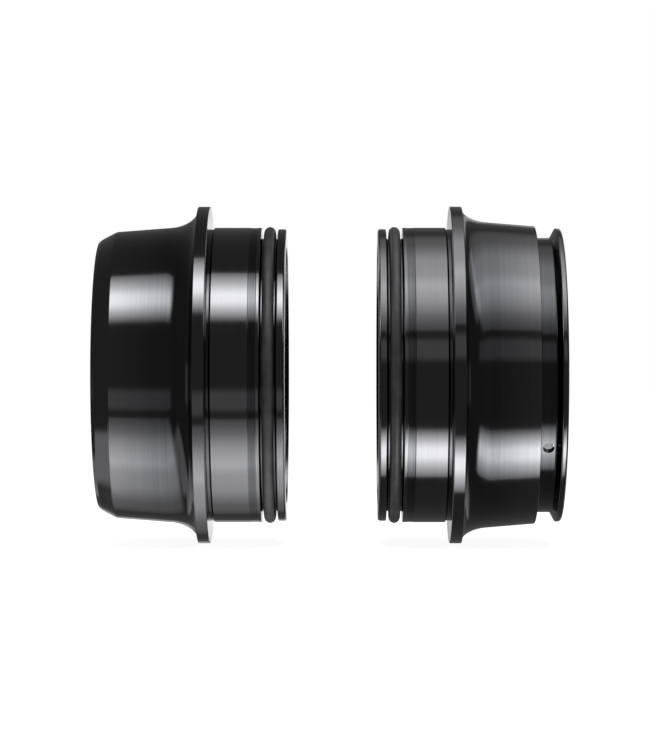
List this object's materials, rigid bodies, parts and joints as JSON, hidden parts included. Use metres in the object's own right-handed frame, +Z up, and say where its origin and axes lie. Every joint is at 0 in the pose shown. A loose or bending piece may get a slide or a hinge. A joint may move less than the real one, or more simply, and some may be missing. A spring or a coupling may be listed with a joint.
{
  "type": "bottom bracket",
  "caption": "Pair of press-fit bottom bracket cups with flanges, O-rings and outboard sealed ball bearings, for a bicycle crank spindle.",
  "frame": {"origin": "on the crank spindle's axis, midway between the two flange faces that meet the frame's shell, which is the middle of the frame's bottom bracket shell", "axes": "+X along the spindle axis, from the left cup to the right cup; +Z up; -Y is the side seen in a side view of the two cups"},
  "size_m": [0.0656, 0.048, 0.048],
  "materials": {
    "cup_aluminium": "fine turned, satin black anodised",
    "o_ring_rubber": "matte black rubber",
    "bearing_steel": "ground and polished bearing steel",
    "spring_steel": "plain spring steel",
    "cage_nylon": "natural glass-filled nylon",
    "seal_rubber": "black moulded rubber lip seal"
  },
  "bodies": {
    "left_cup": {"left_cup": "cup_aluminium", "left_o_ring": "o_ring_rubber", "left_wave_washer": "spring_steel"},
    "left_bearing": {"left_outer_race": "bearing_steel", "left_seal_inboard": "seal_rubber", "left_seal_outboard": "seal_rubber"},
    "left_ball_set": {"left_cage": "cage_nylon", "left_ball_01": "bearing_steel", "left_ball_02": "bearing_steel", "left_ball_03": "bearing_steel", "left_ball_04": "bearing_steel", "left_ball_05": "bearing_steel", "left_ball_06": "bearing_steel", "left_ball_07": "bearing_steel", "left_ball_08": "bearing_steel", "left_ball_09": "bearing_steel", "left_ball_10": "bearing_steel", "left_ball_11": "bearing_steel", "left_ball_12": "bearing_steel", "left_ball_13": "bearing_steel", "left_ball_14": "bearing_steel", "left_ball_15": "bearing_steel", "left_ball_16": "bearing_steel"},
    "left_inner_race": {"left_inner_race": "bearing_steel"},
    "right_cup": {"right_cup": "cup_aluminium", "right_o_ring": "o_ring_rubber", "right_retaining_clip": "spring_steel", "right_outer_race": "bearing_steel", "right_seal_inboard": "seal_rubber", "right_seal_outboard": "seal_rubber"},
    "right_ball_set": {"right_cage": "cage_nylon", "right_ball_01": "bearing_steel", "right_ball_02": "bearing_steel", "right_ball_03": "bearing_steel", "right_ball_04": "bearing_steel", "right_ball_05": "bearing_steel", "right_ball_06": "bearing_steel", "right_ball_07": "bearing_steel", "right_ball_08": "bearing_steel", "right_ball_09": "bearing_steel", "right_ball_10": "bearing_steel", "right_ball_11": "bearing_steel", "right_ball_12": "bearing_steel", "right_ball_13": "bearing_steel", "right_ball_14": "bearing_steel", "right_ball_15": "bearing_steel", "right_ball_16": "bearing_steel"},
    "right_inner_race": {"right_inner_race": "bearing_steel"}
  },
  "joints": [
    {"name": "left_bearing_float", "type": "slide", "parent": "left_cup", "child": "left_bearing", "axis": [1, 0, 0], "range_m": [0, 0.0006], "stiffness_N_per_m": 4000, "deforming": ["left_wave_washer"]},
    {"name": "left_inner_race_spin", "type": "hinge", "parent": "left_bearing", "child": "left_inner_race", "pos_m": [-0.028, 0, 0], "axis": [1, 0, 0], "continuous": true},
    {"name": "left_ball_set_orbit", "type": "hinge", "parent": "left_bearing", "child": "left_ball_set", "pos_m": [-0.028, 0, 0], "axis": [1, 0, 0], "continuous": true},
    {"name": "right_cup_spacing", "type": "slide", "parent": "left_cup", "child": "right_cup", "axis": [1, 0, 0], "range_m": [0, 0.034]},
    {"name": "right_inner_race_spin", "type": "hinge", "parent": "right_cup", "child": "right_inner_race", "pos_m": [0.02645, 0, 0], "axis": [1, 0, 0], "continuous": true},
    {"name": "right_ball_set_orbit", "type": "hinge", "parent": "right_cup", "child": "right_ball_set", "pos_m": [0.02645, 0, 0], "axis": [1, 0, 0], "continuous": true}
  ],
  "couplings": [
    {"joint": "left_ball_set_orbit", "follows": "left_inner_race_spin", "ratio": 0.4488},
    {"joint": "right_ball_set_orbit", "follows": "right_inner_race_spin", "ratio": 0.4488}
  ]
}
